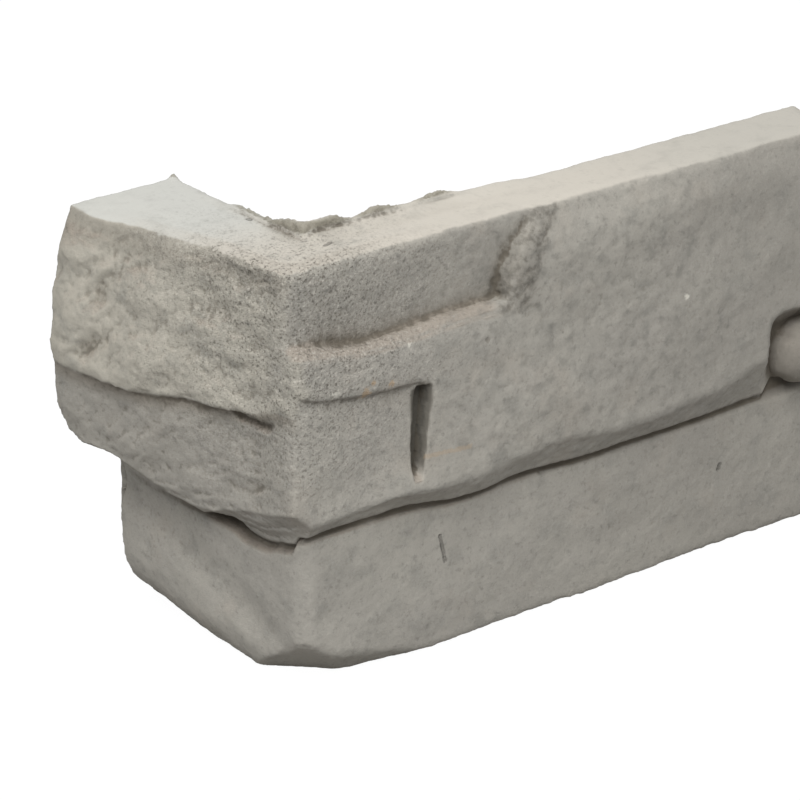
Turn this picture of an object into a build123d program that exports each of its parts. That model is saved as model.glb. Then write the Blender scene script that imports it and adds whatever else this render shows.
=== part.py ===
from build123d import *
import os
from math import cos, exp, pi, sin

# Stone cladding corner piece: two courses of split stone in relief, cast as one L-shaped block
# that wraps an outside corner of a wall.
# Frame: the inner upright arris, where the wall's corner goes, is the Z axis, and the bed is z = 0.
# The long leg runs along +X with its back on y = 0, and the short leg along +Y with its back on
# x = 0. Sizes are in millimetres. A thickness is measured from a leg's back outwards.

# Overall
HEIGHT = 100.0  # bed to the top of the upper course
LONG_LEG = 146.0  # wall arris to the end of the long leg
SHORT_LEG = 48.0  # wall arris to the end of the short leg
INSIDE_COVE = 1.5  # small cove where the two backs meet

# Upper course. It overhangs the lower one, and the short leg's block grows thicker to its end.
UPPER_LONG = 19.4  # thickness of the big block on the long leg
UPPER_SHORT = 16.4  # thickness of the rough block on the short leg, at the outer corner
UPPER_FLARE = 0.05  # straight part of the rough block's thickening towards its end
UPPER_SWEEP = 0.0028  # curved part of the same
SHORT_BULGE = 3.9  # the rough block stands this much prouder at mid height
BULGE_LEVEL = 68.0
BULGE_SPREAD = 26.0
BULGE_NEAR = 8.0  # the bulge begins this far before the wall arris
BULGE_GROWTH = 30.0  # and is full after this length
TOP_ROLL = 2.4  # the big block's face leans back by this much at its top edge
TOP_ROLL_HEIGHT = 9.0  # over this height
SHORT_TOP_ROLL = 1.6  # the same for the rough block
END_ROLL = 2.2  # the rough block's face turns in by this much at its free end
END_ROLL_LENGTH = 8.0

# Lower course
LOWER_LONG = 14.8  # thickness on the long leg
LOWER_SHORT = 12.2  # thickness on the short leg, at the outer corner
LOWER_FLARE = 0.088  # the short leg thickens by this much for each mm towards its end
LOWER_ROUND = 4.0  # worn outer corner
FOOT_SETBACK = 2.9  # the short leg's foot is drawn in by this much beside the corner
FOOT_SPREAD = 0.13  # and by this much more for each mm towards the end
FOOT_RISE = 5.0  # the drawn-in foot starts this high beside the corner
FOOT_SLOPE = 0.31  # and this much higher for each mm towards the end

# Underside of the upper course. Each line is a list of places along a leg, and how far the line
# lies above its level there.
JOINT_LEVEL = 35.0  # where the underside meets the lower course
JOINT_LONG = ((-15, 1.7), (-5, 0.9), (12, 0.6), (36, -0.3), (47, 0.4), (70, -0.5), (100, -0.3), (116, 0.8))
JOINT_SHORT = ((-15, 1.7), (-7, -2.1), (2, -3.7), (10, -2.2), (20, -2.1), (35, -2.5), (46, -0.8), (51, 0.4))
UNDER_RISE = 7.5  # the underside rises by this much to the split faces
FRONT_LONG = (
    (-16, 0.6), (-7, 0.0), (8, 0.9), (18, -1.3), (38, 0.0),
    (57, 0.9), (76, -0.7), (98, 0.6), (108, 1.6), (122, 4.9),
)
FRONT_SHORT = ((-17, 0.4), (-6, -2.0), (3, -3.5), (8, -4.8), (22, -3.6), (33, 0.5), (43, 2.0), (51, 8.5))
UNDER_COVE = 1.6  # how strongly the short leg's underside curves up beside the lower course
OVERLAP = 1.5  # the courses' cutting faces run this far into the stone behind them

# Narrow ledge across the corner, with a recessed panel above it and another below
LEDGE_DROP = 19.2  # front edge of the ledge's top, below the top of the block
LEDGE_HUMP = 1.3  # it is this much higher beside the corner
LEDGE_RISE = 1.1  # and there rises by this much more to the panel above
HUMP_NEAR = 13.0  # the hump's middle, this far past the wall arris
HUMP_SPREAD = 10.0
LEDGE_FALL = ((-17, 7.6), (-7, 10.6), (2, 11.7), (22, 13.4))  # its lower edge, below its top
RECESS_DEPTH = 3.5  # the upper panel lies this far behind the big block's face
RECESS_HOLLOW = 1.2  # and is hollowed by this much above the ledge
BREAK_FOOT = 41.0  # the big block's broken edge beside that panel: where it meets the ledge
BREAK_LEAN = 11.0  # it leans to the right by this much up to the top
BREAK_SAG = 0.2  # share of the lean that is reached at mid height
BREAK_SPUR = 3.0  # the edge turns out by this much at its foot
PANEL_DEPTH = 1.4  # the lower panel lies this far behind the big block's face
PANEL_CALM = 0.3  # share of the relief that both panels keep
PANEL_FADE = 12.0  # beside the slot's foot, the panel runs out into the block over this height
SLOT_LEFT = 15.2  # upright slot that ends the lower panel
SLOT_WIDTH = 4.4
SLOT_TAPER = 1.8  # the slot narrows by this much at its foot
SLOT_DROP = 14.0  # its head, below the ledge's top
SLOT_TALL = 20.0
SLOT_DEPTH = 4.0

# Bed crack under the rough block on the short leg, with a hollow in it beside the corner
CRACK_LEVEL = 64.0
CRACK = ((-20, 3.8), (-13, 3.4), (-3, 0.8), (12, -0.1), (25, -1.4), (45, 0.8), (62, 2.0))
CRACK_STEP = 1.7  # the stone under the crack is set back by this much
CRACK_RELIEF = 0.4  # share of the relief that is missing under the crack
CRACK_END = 12.0  # the crack closes over this length at the free end
HOLLOW_PLACE = -5.5  # middle of the hollow along the leg
HOLLOW_LEVEL = 64.2
HOLLOW_LENGTH = 14.0
HOLLOW_TALL = 5.0
HOLLOW_DEPTH = 3.2
HOLLOW_LEAN = 8.0  # degrees, down towards the free end

# Small round-nosed stone at the end of the long leg
NOSE_LENGTH = 21.4
NOSE_FOOT = 35.6
NOSE_TALL = 18.0
NOSE_PROUD = 2.4  # it stands out this far before the big block's face
NOSE_ROUND = 7.0
NOSE_GAP = 2.8  # width of the gap round it
NOSE_GAP_DEPTH = 4.2

# Broken corners
CHIP_HEIGHT = 8.5  # height of the broken lower corner
CHIP_CREST = 9.0  # its top lies this far out from the backs
CHIP_LONG = 25.0  # how far it reaches along the long leg's foot
CHIP_SHORT = 0.6  # and along the short leg's foot
CHIP_FOOT = 10.1  # where this thickness is left
CHIP_MEET = 0.9  # its two breaks meet this far along the long leg
CHIP_MIDDLE = 9.8  # where this thickness is left
END_CHIP = 12.0  # broken top corner at the end of the long leg
END_CHIP_BACK = 2.5  # its width at the back
SHORT_CHIP = 5.0  # the same at the end of the short leg
SHORT_CHIP_TALL = 15.0

# Casting flash standing up along the top edges of the backs: places along a leg, and its height
FLASH_THICKNESS = 1.7
FLASH_CLEARANCE = 0.2  # it stays this far inside the backs' planes
FLASH_ROOT = 2.0  # it runs down into the block by this much
FLASH_CORNER = 2.6  # its height in the inner corner
FLASH_LONG = (
    (1, 3.1), (4, 3.2), (8, 2.7), (12.3, 0.9), (15.5, 1.7), (20.4, 2.4), (26, 0.7), (33.5, 1.9), (39, 1.0)
)
FLASH_SHORT = ((1, 3.1), (3.5, 3.0), (6.5, 2.5), (10.6, 1.7), (19.5, 1.5), (24.4, 0.6))
FLASH_LONG_END = 43.5
FLASH_SHORT_END = 29.0
NIB_INSET = 0.5  # single nib, this far from the end of the short leg
NIB_WIDTH = 3.6
NIB_HEIGHT = 1.5
NIB_SHOULDER = 0.7  # share of its height on the outer side

# Relief of the split faces: height of the waves and their length
LONG_RELIEF = 0.6
LONG_RELIEF_LENGTH = 56.0
SHORT_RELIEF = 1.0
SHORT_RELIEF_LENGTH = 22.0
LOWER_RELIEF = 0.35
LOWER_RELIEF_LENGTH = 60.0
CORNER_CALM = 14.0  # the rough block's relief grows over this length, so its outer arris stays straight

# How the faces are made
MARGIN = 12.0  # a face is made this much larger than the block and then trimmed
FAR = 60.0  # cutting shapes run out of the block by this much
COARSE = 7.0  # spacing of the points that a face passes through
FINE = 4.5
FACE_TOLERANCE = 0.05

# Places that follow from the sizes
FRONT_LEVEL = JOINT_LEVEL + UNDER_RISE  # where the underside meets the split faces
LEDGE_TOP = HEIGHT - LEDGE_DROP
RECESS = UPPER_LONG - RECESS_DEPTH  # thickness behind the upper panel
PANEL = UPPER_LONG - PANEL_DEPTH  # thickness behind the lower panel
SLOT_HEAD = LEDGE_TOP - SLOT_DROP
SLOT_FOOT = SLOT_HEAD - SLOT_TALL


def ease(t):
    """A smooth step from 0 to 1 while t goes from 0 to 1."""
    t = min(max(t, 0.0), 1.0)
    return t * t * (3 - 2 * t)


def along(line, place):
    """Height of a line at a place, eased between its points and level beyond its ends."""
    if place <= line[0][0]:
        return line[0][1]
    for (a, low), (b, high) in zip(line, line[1:]):
        if place <= b:
            return low + (high - low) * ease((place - a) / (b - a))
    return line[-1][1]


def spread(start, end, step):
    """Evenly spaced values from start to end, about one step apart."""
    count = max(3, round((end - start) / step))
    return [start + (end - start) * i / count for i in range(count + 1)]


def waves(u, v, length):
    """Relief of split stone, between about -1 and 1: three crossed waves of unlike length."""
    turn = 2 * pi / length
    return (
        0.5 * sin(turn * (u + 0.35 * v))
        + 0.3 * sin(turn * 1.7 * (v - 0.3 * u) + 1.1)
        + 0.25 * cos(turn * 1.3 * (0.6 * u + v) + 0.4)
    )


# Thicknesses of the split faces, at a place along the leg and a height


def lower_long(x, z):
    return LOWER_LONG + LOWER_RELIEF * waves(x, z, LOWER_RELIEF_LENGTH)


def lower_short(y, z):
    """The short leg's lower course, whose foot is drawn in more and more towards the end."""
    reach = min(max(y, 0.0), SHORT_LEG)
    setback = FOOT_SETBACK + FOOT_SPREAD * reach
    rise = FOOT_RISE + FOOT_SLOPE * reach
    foot = setback * max(0.0, 1 - max(z, 0.0) / rise) ** 3
    return flare_lower(y) - foot + LOWER_RELIEF * waves(y, z, LOWER_RELIEF_LENGTH)


def flare_lower(y):
    return LOWER_SHORT + LOWER_FLARE * (y + LOWER_LONG)


def upper_long(x, z):
    roll = TOP_ROLL * ease((z - HEIGHT) / TOP_ROLL_HEIGHT + 1)
    return UPPER_LONG - roll + LONG_RELIEF * waves(x, z, LONG_RELIEF_LENGTH)


def upper_short(y, z):
    """The rough block on the short leg, which flares and bulges towards its end."""
    bulge = SHORT_BULGE * exp(-(((z - BULGE_LEVEL) / BULGE_SPREAD) ** 2))
    bulge *= ease((y + BULGE_NEAR) / BULGE_GROWTH)
    end_roll = END_ROLL * ease((y - SHORT_LEG) / END_ROLL_LENGTH + 1)
    relief = SHORT_RELIEF * waves(y, z, SHORT_RELIEF_LENGTH) * ease((y + UPPER_SHORT) / CORNER_CALM)
    top_roll = SHORT_TOP_ROLL * ease((z - HEIGHT) / TOP_ROLL_HEIGHT + 1) * ease(y / SHORT_LEG)
    return flare_upper(y) + bulge + relief - end_roll - top_roll


def flare_upper(y):
    reach = max(y + UPPER_LONG, 0.0)
    return UPPER_SHORT + UPPER_FLARE * reach + UPPER_SWEEP * reach**2


def under_crack(y, z):
    """The smoother stone under the bed crack."""
    away = ease((y + UPPER_SHORT) / CORNER_CALM) * ease((SHORT_LEG - y) / CRACK_END)
    missing = CRACK_RELIEF * SHORT_RELIEF * waves(y, z, SHORT_RELIEF_LENGTH)
    return upper_short(y, z) - away * (CRACK_STEP + missing)


def upper_panel(x, z):
    hollow = RECESS_HOLLOW * ease((HEIGHT - z) / (HEIGHT - LEDGE_TOP))
    return RECESS - hollow + PANEL_CALM * LONG_RELIEF * waves(x, z, LONG_RELIEF_LENGTH)


def lower_panel(x, z):
    """The panel under the ledge. Beside and under the slot's foot it comes forward to the block's face."""
    forward = PANEL_DEPTH * ease(x / SLOT_LEFT) * ease((SLOT_FOOT - z) / PANEL_FADE + 0.5)
    return PANEL + forward + PANEL_CALM * LONG_RELIEF * waves(z, x, LONG_RELIEF_LENGTH)


# Heights of the faces that look up or down, at a place along the leg and a thickness


def under_long(x, thickness):
    slope = (thickness - LOWER_LONG) / (UPPER_LONG - LOWER_LONG)
    joint = JOINT_LEVEL + along(JOINT_LONG, x)
    return joint + (FRONT_LEVEL + along(FRONT_LONG, x) - joint) * slope


def under_short(y, thickness):
    slope = (thickness - flare_lower(y)) / (flare_upper(y) - flare_lower(y))
    cove = UNDER_COVE * min(max(slope, 0.0), 1.0) * max(1 - slope, 0.0) ** 3
    joint = JOINT_LEVEL + along(JOINT_SHORT, y)
    return joint + (FRONT_LEVEL + along(FRONT_SHORT, y) - joint) * (slope + cove)


def ledge_top(x, thickness):
    back = (UPPER_LONG - thickness) / (RECESS_DEPTH + RECESS_HOLLOW)
    hump = exp(-(((x + HUMP_NEAR) / HUMP_SPREAD) ** 2))
    return LEDGE_TOP + hump * (LEDGE_HUMP + LEDGE_RISE * back)


# Solids made from those faces


def skin(rows):
    return Face.make_surface_from_array_of_points(rows, tol=FACE_TOLERANCE, min_deg=3)


def long_face(thickness, x_to, z_from, z_to, step=COARSE):
    """The long leg's face, from well past the outer corner, with a margin below and above."""
    xs, zs = spread(-FAR, x_to, step), spread(z_from - MARGIN, z_to + MARGIN, step)
    return skin([[(x, -thickness(x, z), z) for x in xs] for z in zs])


def short_face(thickness, z_from, z_to):
    """The same for the short leg, past both its ends."""
    ys, zs = spread(-FAR, SHORT_LEG + MARGIN, FINE), spread(z_from - MARGIN, z_to + MARGIN, FINE)
    return skin([[(-thickness(y, z), y, z) for y in ys] for z in zs])


def level_long(height, x_to, t_from):
    """A face along the long leg that looks up or down, from a thickness outwards."""
    xs, ts = spread(-FAR, x_to, COARSE), spread(t_from, t_from + FAR / 3, COARSE)
    return skin([[(x, -t, height(x, t)) for x in xs] for t in ts])


def level_short(height, t_from):
    ys, ts = spread(-FAR, SHORT_LEG + MARGIN, FINE), spread(t_from, t_from + FAR, FINE)
    return skin([[(-t, y, height(y, t)) for y in ys] for t in ts])


def pushed(face, x=0.0, y=0.0, z=0.0):
    """The solid that a face sweeps when it is pushed along an axis."""
    return Solid.extrude(face, Vector(x, y, z))


def plan(long_thickness, short_thickness, z_from, z_to):
    """L-shaped block: two backs on the axes and outer faces at the given thicknesses."""
    outline = Polyline(
        (0, 0),
        (LONG_LEG, 0),
        (LONG_LEG, -long_thickness),
        (-short_thickness, -long_thickness),
        (-short_thickness, SHORT_LEG),
        (0, SHORT_LEG),
        close=True,
    )
    sketch = make_face(outline)
    sketch = fillet([c for c in sketch.vertices() if abs(c.X) + abs(c.Y) < 0.001], INSIDE_COVE)
    return Pos(0, 0, z_from) * extrude(sketch, z_to - z_from)


def outlined(edge, *corners):
    """Flat face between a smooth line through the edge's points and straight lines by the corners."""
    return make_face(Curve() + [Spline(*edge), Polyline(edge[-1], *corners, edge[0])])


def through_long(face, t_from, t_to):
    """Prism through the long leg over a flat face drawn in x and z, from one thickness to another."""
    return Pos(0, -t_from, 0) * extrude(Plane.XZ * face, t_to - t_from)


def through_short(face, t_from, t_to):
    """The same through the short leg, over a flat face drawn in y and z."""
    return Pos(-t_to, 0, 0) * extrude(Plane.YZ * face, t_to - t_from)


def chip(a, b, c):
    """What lies outside the plane through three points, taken clockwise as seen from outside."""
    a, b, c = Vector(*a), Vector(*b), Vector(*c)
    broken = Plane(origin=a, x_dir=b - a, z_dir=(c - a).cross(b - a))
    return broken * Pos(0, 0, FAR / 2) * Box(2 * FAR, 2 * FAR, FAR)


def flash_strip(line, end):
    """Ragged strip of flash, drawn along a leg and upwards, from the inner corner to its end."""
    start = -FLASH_THICKNESS - FLASH_CLEARANCE
    points = ((start, FLASH_CORNER), *line, (end, -FLASH_ROOT / 2))
    crest = [(place, HEIGHT + rise) for place, rise in points]
    return outlined(crest, (end, HEIGHT - FLASH_ROOT), (start, HEIGHT - FLASH_ROOT))


# Lower course

top = FRONT_LEVEL - OVERLAP
long_end = LONG_LEG + MARGIN
lower = plan(LOWER_LONG + MARGIN, flare_lower(SHORT_LEG) + MARGIN, 0, top)
lower &= pushed(long_face(lower_long, long_end, 0, top), y=2 * FAR)
lower &= pushed(short_face(lower_short, 0, top), x=4 * FAR)
outer = [e for e in lower.edges() if max(e.center().X + LOWER_SHORT, e.center().Y + LOWER_LONG) < LOWER_ROUND]
lower = fillet([e for e in outer if abs(e.center().Z - top / 2) < top / 4], LOWER_ROUND)
meet = (CHIP_MEET, -CHIP_MIDDLE, 0)
lower -= chip((CHIP_LONG, -LOWER_LONG, 0), meet, (-CHIP_CREST, -LOWER_LONG, CHIP_HEIGHT))
lower -= chip(meet, (-CHIP_FOOT, CHIP_SHORT, 0), (-LOWER_SHORT, -CHIP_CREST, CHIP_HEIGHT))

# Upper course, cut to its split faces and then from below

foot = JOINT_LEVEL - 2 * OVERLAP
upper = plan(UPPER_LONG + MARGIN, flare_upper(SHORT_LEG) + SHORT_BULGE + MARGIN, foot, HEIGHT)
upper &= pushed(long_face(upper_long, long_end, foot, HEIGHT), y=2 * FAR)
upper &= pushed(short_face(upper_short, foot, HEIGHT), x=4 * FAR)
upper -= pushed(level_long(under_long, long_end, LOWER_LONG - OVERLAP), z=-FAR)
upper -= pushed(level_short(under_short, LOWER_SHORT - OVERLAP), z=-FAR)

# Panel above the ledge, up to the big block's broken edge

low, high = LEDGE_TOP - BREAK_SPUR, HEIGHT + OVERLAP
break_line = [
    (BREAK_FOOT + BREAK_SPUR, low),
    (BREAK_FOOT, LEDGE_TOP + BREAK_SPUR),
    (BREAK_FOOT + BREAK_SAG * BREAK_LEAN, (LEDGE_TOP + HEIGHT) / 2),
    (BREAK_FOOT + BREAK_LEAN, high),
]
behind = RECESS - RECESS_HOLLOW - OVERLAP
recess = through_long(outlined(break_line, (-FAR, high), (-FAR, low)), behind, FAR)
recess &= pushed(level_long(ledge_top, FAR, behind), z=FAR)
recess &= pushed(long_face(upper_panel, FAR, LEDGE_TOP, HEIGHT), y=-FAR)
upper -= recess

# Panel under the ledge, and the slot that ends it

ledge_line = [(x, LEDGE_TOP - fall) for x, fall in LEDGE_FALL]
panel_face = outlined(ledge_line, (ledge_line[-1][0], foot), (-FAR, foot), (-FAR, ledge_line[0][1]))
panel_side = Pos(SLOT_LEFT + SLOT_WIDTH / 2, 0, foot)
panel_side *= Box(FAR, FAR, HEIGHT, align=(Align.MAX, Align.MAX, Align.MIN))
panel = through_long(panel_face, PANEL - OVERLAP, FAR) & panel_side
panel &= pushed(long_face(lower_panel, FAR, foot, LEDGE_TOP, FINE), y=-FAR)
upper -= panel
slot_face = make_face(
    Polyline(
        (SLOT_LEFT, SLOT_HEAD),
        (SLOT_LEFT + SLOT_WIDTH, SLOT_HEAD),
        (SLOT_LEFT + SLOT_WIDTH - SLOT_TAPER, SLOT_FOOT),
        (SLOT_LEFT, SLOT_FOOT),
        close=True,
    )
)
upper -= through_long(slot_face, UPPER_LONG - SLOT_DEPTH, FAR)

# Bed crack and its hollow on the short leg

crack_line = [(y, CRACK_LEVEL + lift) for y, lift in CRACK]
crack_face = outlined(crack_line, (crack_line[-1][0], foot), (crack_line[0][0], foot))
crack = through_short(crack_face, 0, FAR)
crack &= pushed(short_face(under_crack, foot, CRACK_LEVEL), x=-FAR)
upper -= crack
hollow = scale(Sphere(1), (HOLLOW_DEPTH, HOLLOW_LENGTH / 2, HOLLOW_TALL / 2))
upper -= Pos(-flare_upper(HOLLOW_PLACE), HOLLOW_PLACE, HOLLOW_LEVEL) * Rot(-HOLLOW_LEAN, 0, 0) * hollow

# Round-nosed stone at the end of the long leg, in its own gap

nose_start = LONG_LEG - NOSE_LENGTH
gap = Pos(nose_start - NOSE_GAP, NOSE_GAP_DEPTH - UPPER_LONG, foot)
gap *= Box(FAR, FAR, NOSE_FOOT + NOSE_TALL + NOSE_GAP - foot, align=(Align.MIN, Align.MAX, Align.MIN))
upper -= gap
nose = Box(NOSE_LENGTH, UPPER_LONG + NOSE_PROUD, NOSE_TALL, align=(Align.MIN, Align.MAX, Align.MIN))
front = [e for e in nose.edges() if e.center().Y < -UPPER_LONG and e.center().X < NOSE_LENGTH - NOSE_ROUND]
nose = Pos(nose_start, 0, NOSE_FOOT) * fillet(front, NOSE_ROUND)

# One block, with its broken top corners

block = lower + upper + nose
block -= chip(
    (LONG_LEG - END_CHIP_BACK, 0, HEIGHT),
    (LONG_LEG, -UPPER_LONG, HEIGHT - END_CHIP),
    (LONG_LEG - END_CHIP, -UPPER_LONG, HEIGHT),
)
end_face = flare_upper(SHORT_LEG)
block -= chip(
    (SHORT_CHIP - end_face, SHORT_LEG, HEIGHT),
    (-end_face, SHORT_LEG - SHORT_CHIP, HEIGHT),
    (-end_face, SHORT_LEG, HEIGHT - SHORT_CHIP_TALL),
)

# Casting flash

inside, outside = FLASH_CLEARANCE, FLASH_CLEARANCE + FLASH_THICKNESS
block += through_long(flash_strip(FLASH_LONG, FLASH_LONG_END), inside, outside)
block += through_short(flash_strip(FLASH_SHORT, FLASH_SHORT_END), inside, outside)
nib_end = SHORT_LEG - NIB_INSET
nib_face = make_face(
    Polyline(
        (nib_end - NIB_WIDTH, HEIGHT - FLASH_ROOT),
        (nib_end, HEIGHT - FLASH_ROOT),
        (nib_end, HEIGHT + NIB_SHOULDER * NIB_HEIGHT),
        (nib_end - NIB_WIDTH / 4, HEIGHT + NIB_HEIGHT),
        close=True,
    )
)
block += through_short(nib_face, inside, outside)

os.makedirs("parts", exist_ok=True)
export_step(block, "parts/stone_corner.step")
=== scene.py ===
# %% [markdown]
# # Stone cladding corner piece
#
# The object is one block of cast concrete that looks like split stone. It is glued round the
# outside corner of a wall, so that the stones seem to turn the corner. A maker pours coloured
# concrete into a rubber mould that was taken from real stones, and lets it set on its back.
#
# The solid block comes from the CAD model. This script gives it the skin of the real thing: the
# broken stone, the worn edges, the sandy grain, the light of a photograph and a camera.

# %% Load the block
import bpy
import bmesh
import math
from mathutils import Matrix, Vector


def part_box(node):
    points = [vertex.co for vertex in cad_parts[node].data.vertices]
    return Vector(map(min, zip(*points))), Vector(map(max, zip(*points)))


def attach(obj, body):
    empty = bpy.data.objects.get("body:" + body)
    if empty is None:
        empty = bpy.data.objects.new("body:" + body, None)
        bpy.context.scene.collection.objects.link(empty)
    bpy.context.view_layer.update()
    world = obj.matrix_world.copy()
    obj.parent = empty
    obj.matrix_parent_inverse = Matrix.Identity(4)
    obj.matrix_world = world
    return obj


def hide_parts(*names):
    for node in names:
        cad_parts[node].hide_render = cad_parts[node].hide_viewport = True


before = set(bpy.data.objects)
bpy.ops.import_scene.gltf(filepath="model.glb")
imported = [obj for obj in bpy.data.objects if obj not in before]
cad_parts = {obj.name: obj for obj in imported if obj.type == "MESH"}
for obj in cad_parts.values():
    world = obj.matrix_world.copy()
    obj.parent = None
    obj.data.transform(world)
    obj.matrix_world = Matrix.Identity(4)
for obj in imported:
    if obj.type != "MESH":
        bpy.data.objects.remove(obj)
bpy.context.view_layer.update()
cad_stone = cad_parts["stone_corner"]
low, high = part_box("stone_corner")
MM = 0.001
print("block", [round(side / MM, 1) for side in high - low], "mm")

# %% [markdown]
# ## Sums with sockets
#
# The relief and the finish are both sums of patterns. Node by node that is long to write and hard
# to read, so a small class holds a socket and stands for it in a sum: `noise * 2 + 1` then adds
# its own Math nodes. The same class serves Geometry Nodes and shaders, because they share these
# nodes.


# %% A socket that can be used in a sum
class Wire:
    """One socket of a node tree. Sums, products and steps on it add their Math nodes."""

    def __init__(self, board, socket):
        self.board = board
        self.socket = socket

    def math(self, operation, *others):
        """One Math node, with this wire as its first value."""
        values = dict(enumerate([self, *others]))
        return self.board.node("ShaderNodeMath", {"operation": operation}, values)

    def __add__(self, other):
        return self.math("ADD", other)

    __radd__ = __add__

    def __sub__(self, other):
        return self.math("SUBTRACT", other)

    def __rsub__(self, other):
        values = {0: other, 1: self}
        return self.board.node("ShaderNodeMath", {"operation": "SUBTRACT"}, values)

    def __mul__(self, other):
        return self.math("MULTIPLY", other)

    __rmul__ = __mul__

    def __truediv__(self, other):
        return self.math("DIVIDE", other)

    def __neg__(self):
        return self.math("MULTIPLY", -1.0)

    def low(self, other):
        """The smaller of two."""
        return self.math("MINIMUM", other)

    def high(self, other):
        """The larger of two."""
        return self.math("MAXIMUM", other)

    def step(self, start, end):
        """A soft step: 0 up to start, 1 from end on. It falls if end is the smaller."""
        rising = end > start
        values = {"Value": self, "From Min": min(start, end), "From Max": max(start, end)}
        values["To Min"] = 0.0 if rising else 1.0
        values["To Max"] = 1.0 if rising else 0.0
        return self.board.node("ShaderNodeMapRange", {"interpolation_type": "SMOOTHSTEP"}, values)

    def steps(self, start, end):
        """A soft step between two lengths in millimetres."""
        return self.step(start * MM, end * MM)

    def near(self, middle, outer, inner):
        """A soft band round a length in millimetres: 1 up to the inner reach, 0 from the outer on."""
        return (self - middle * MM).math("ABSOLUTE").steps(outer, inner)

    def parts(self):
        """X, Y and Z of a vector."""
        node = self.board.tree.nodes.new("ShaderNodeSeparateXYZ")
        self.board.feed(node.inputs[0], self)
        return [Wire(self.board, socket) for socket in node.outputs]

    def vector(self, operation, *others, out=0):
        """Vector Math, for places, directions and colours."""
        values = dict(enumerate([self, *others]))
        return self.board.node("ShaderNodeVectorMath", {"operation": operation}, values, out)


# %% A node tree that is built in Python
class Board:
    """A node tree, with a short call for each kind of node that this script adds to one."""

    def __init__(self, tree):
        self.tree = tree

    def feed(self, socket, value):
        """Links a wire into a socket, or sets its value."""
        if isinstance(value, Wire):
            self.tree.links.new(value.socket, socket)
        else:
            socket.default_value = value

    def node(self, kind, settings=None, values=None, out=0):
        """Adds a node: its settings first, then its sockets by name or number. Gives one output."""
        node = self.tree.nodes.new(kind)
        for name, value in (settings or {}).items():
            setattr(node, name, value)
        for name, value in (values or {}).items():
            self.feed(node.inputs[name], value)
        return Wire(self, node.outputs[out])

    def joined(self, x, y, z):
        """A vector from its three parts."""
        return self.node("ShaderNodeCombineXYZ", None, {0: x, 1: y, 2: z})

    def scaled(self, arrow, share):
        """A vector made shorter or longer by a number."""
        values = {0: arrow, "Scale": share}
        return self.node("ShaderNodeVectorMath", {"operation": "SCALE"}, values)

    def noise(self, place, size, detail=3.0, roughness=0.55, seed=0.0):
        """Noise between 0 and 1 whose blobs are about size across."""
        values = {"Vector": place, "W": seed, "Scale": 1 / size}
        values.update({"Detail": detail, "Roughness": roughness})
        return self.node("ShaderNodeTexNoise", {"noise_dimensions": "4D"}, values)

    def cells(self, place, size, seed=0.0, out="Distance"):
        """Scattered points about size apart: the distance to the nearest, or its own colour."""
        values = {"Vector": place, "W": seed, "Scale": 1 / size}
        return self.node("ShaderNodeTexVoronoi", {"voronoi_dimensions": "4D"}, values, out)

    def mixed(self, share, first, second):
        """The first colour, turned into the second by a share between 0 and 1."""
        # A Mix node has a set of sockets for each type: 6, 7 and output 2 are those for colours.
        return self.node("ShaderNodeMix", {"data_type": "RGBA"}, {0: share, 6: first, 7: second}, 2)


def at(*lengths):
    """A place or a size whose parts are given in millimetres."""
    return tuple(length * MM for length in lengths)


HALF = (0.5, 0.5, 0.5)

# %% [markdown]
# ## Marks that belong to this very piece
#
# A cast copies every scar of its mould and gets some of its own on the way to the wall. Here they
# are a few dents in the rough block, two short scars in the long leg, two small holes in the top
# and one nick. Each could be modelled by hand. A soft line between two places says the same in one
# row, and the same rows serve the relief, which cuts the dents, and the finish, which darkens all.


# %% Rows of marks, and the soft lines that they make
def strokes(board, place, worry, *lines):
    """Soft lines of 1 on 0. Each runs between two places with a half width, all in millimetres."""
    found = worry * 0.0
    for start, end, reach in lines:
        start = Vector(start) * MM
        along = Vector(end) * MM - start
        ahead = place.vector("SUBTRACT", tuple(start))
        rate = tuple(along / along.length_squared)
        share = ahead.vector("DOT_PRODUCT", rate, out="Value").high(0.0).low(1.0)
        nearest = board.scaled(tuple(along), share)
        away = ahead.vector("DISTANCE", nearest, out="Value") / (reach * MM)
        found = found.high((away + worry).step(1.2, 0.4))
    return found


# Each row is two ends and a half width. A dent is a short line that is nearly as wide as long.
DENTS = (
    ((-19, 42, 88.5), (-19, 39.5, 90), 1.2),
    ((-19, 27, 92.5), (-19, 23.5, 94), 1.0),
    ((-19, 31, 89.5), (-19, 28, 91), 1.1),
    ((-19, 39, 78), (-19, 36, 79.5), 1.0),
    ((-18, -13, 80.8), (-18, -19, 84.0), 0.8),
    ((-18, 0.5, 63.4), (-18, -11.5, 64.8), 1.0),
)
SLITS = (
    ((25.8, -15, 27.4), (27.3, -15, 20.7), 0.5),
    ((-3.4, 14.3, 100), (-3.4, 15.3, 100), 0.5),
    ((0.2, -7.6, 100), (2.2, -6.8, 100), 0.45),
    ((92.2, -19, 66.4), (92.8, -19, 67.6), 0.9),
    ((109.8, -15, 20), (110.2, -15, 21), 0.7),
)
print("marks", len(DENTS), "dents and", len(SLITS), "slits")

# %% [markdown]
# ## A fine, even skin
#
# The CAD faces are long thin triangles. Relief needs small triangles of one size everywhere, so a
# copy of the block is remade in voxels of half a millimetre, and smoothed a little: this also
# rounds each arris, as casting does. The backs and the bed stay flat.

# %% Remake the skin in voxels
SKIN = 0.55 * MM
SAME_POINT = 0.001 * MM


def plain_mesh(thing, name):
    """The mesh that a thing has after its modifiers, as a mesh of its own."""
    graph = bpy.context.evaluated_depsgraph_get()
    shown = thing.evaluated_get(graph)
    mesh = bpy.data.meshes.new_from_object(shown, preserve_all_data_layers=True, depsgraph=graph)
    mesh.name = name
    return mesh


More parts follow.
